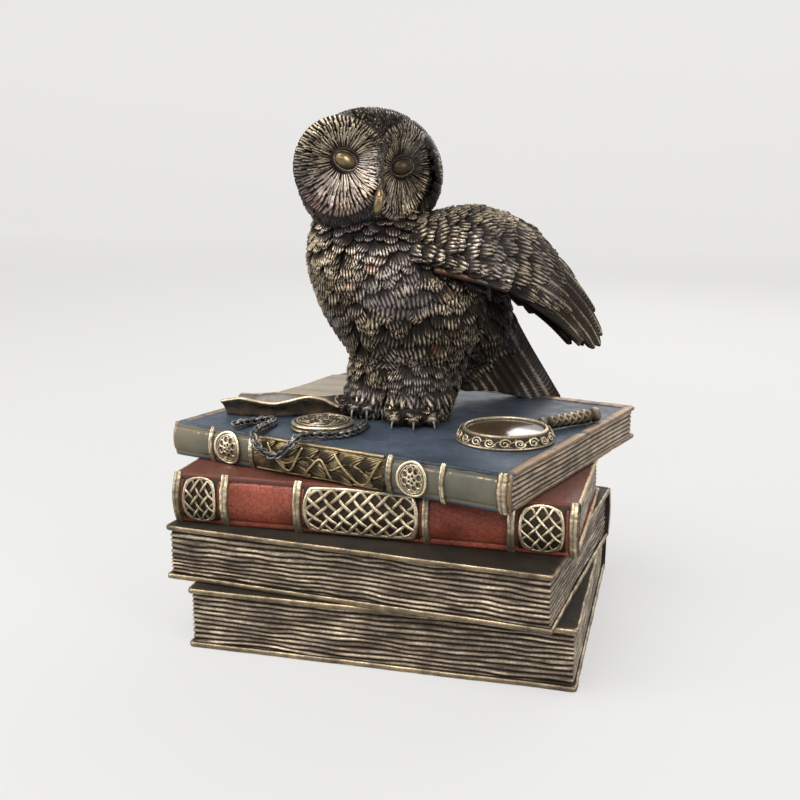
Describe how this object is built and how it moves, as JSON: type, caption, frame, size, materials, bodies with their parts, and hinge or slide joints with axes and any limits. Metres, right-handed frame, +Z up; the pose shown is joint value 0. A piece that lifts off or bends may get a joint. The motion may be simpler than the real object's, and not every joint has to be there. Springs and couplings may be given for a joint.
{
  "type": "owl figurine",
  "caption": "Bronze-finish owl with one raised wing on a stack of old books; the upper books lift off as the lid of a small keepsake box.",
  "frame": {"origin": "centre of the bottom book's underside, where the figurine stands", "axes": "+Z up; +X along the bottom book's front edge, to the right of someone facing the owl; +Y away from that person"},
  "size_m": [0.1428, 0.1315, 0.1595],
  "materials": {
    "book_bronze": "cold-cast bronze resin boards: near-black brown patina, brass rubbed through on every edge",
    "page_bronze": "cold-cast bronze resin page edges: dark grooves, dry-brushed brass on each ridge",
    "felt": "short-pile black felt",
    "lining": "flat dark brown paint on resin",
    "red_leather": "satin red-brown paint over cast leather grain, darkened in its cracks",
    "blue_leather": "satin slate-blue paint over cast leather grain, bronze worn through at the edges",
    "spine_relief": "pale brass dry-brushed over a black ground",
    "parchment": "aged beige paint, dark bronze under the curled edge",
    "plumage": "cold-cast bronze resin feathers: near-black between the barbs, brass and a little copper on their ridges",
    "eye_brass": "polished brass-coloured dome",
    "beak_brass": "rubbed pale brass",
    "claw_silver": "rubbed silvery bronze",
    "relic_bronze": "dark bronze with brass-rubbed scrollwork",
    "lens": "clear gloss over dark brown"
  },
  "bodies": {
    "box": {"felt_base": "felt", "bottom_book_cover": "book_bronze", "bottom_book_pages": "page_bronze", "third_book_cover": "book_bronze", "third_book_pages": "page_bronze", "compartment_lining": "lining"},
    "lid": {"lid_lip": "lining", "red_book_cover": "red_leather", "red_book_pages": "page_bronze", "red_spine_ribs": "spine_relief", "red_centre_panel": "spine_relief", "red_end_panels": "spine_relief", "blue_book_cover": "blue_leather", "blue_book_pages": "page_bronze", "blue_spine_ribs": "spine_relief", "blue_leaf_panel": "spine_relief", "blue_spine_medallions": "spine_relief", "parchment": "parchment", "owl_body": "plumage", "owl_head": "plumage", "owl_facial_discs": "plumage", "owl_eyes": "eye_brass", "owl_beak": "beak_brass", "owl_left_wing": "plumage", "owl_right_wing": "plumage", "owl_tail": "plumage", "owl_legs": "plumage", "owl_feet": "plumage", "owl_claws": "claw_silver", "magnifier_rim": "relic_bronze", "magnifier_lens": "lens", "magnifier_handle": "relic_bronze", "watch_case": "relic_bronze", "watch_cover": "relic_bronze", "watch_crown": "relic_bronze", "watch_chain": "relic_bronze"}
  },
  "joints": [
    {"name": "lid_lift", "type": "slide", "parent": "box", "child": "lid", "axis": [0, 0, 1], "range_m": [0, 0.06]}
  ]
}
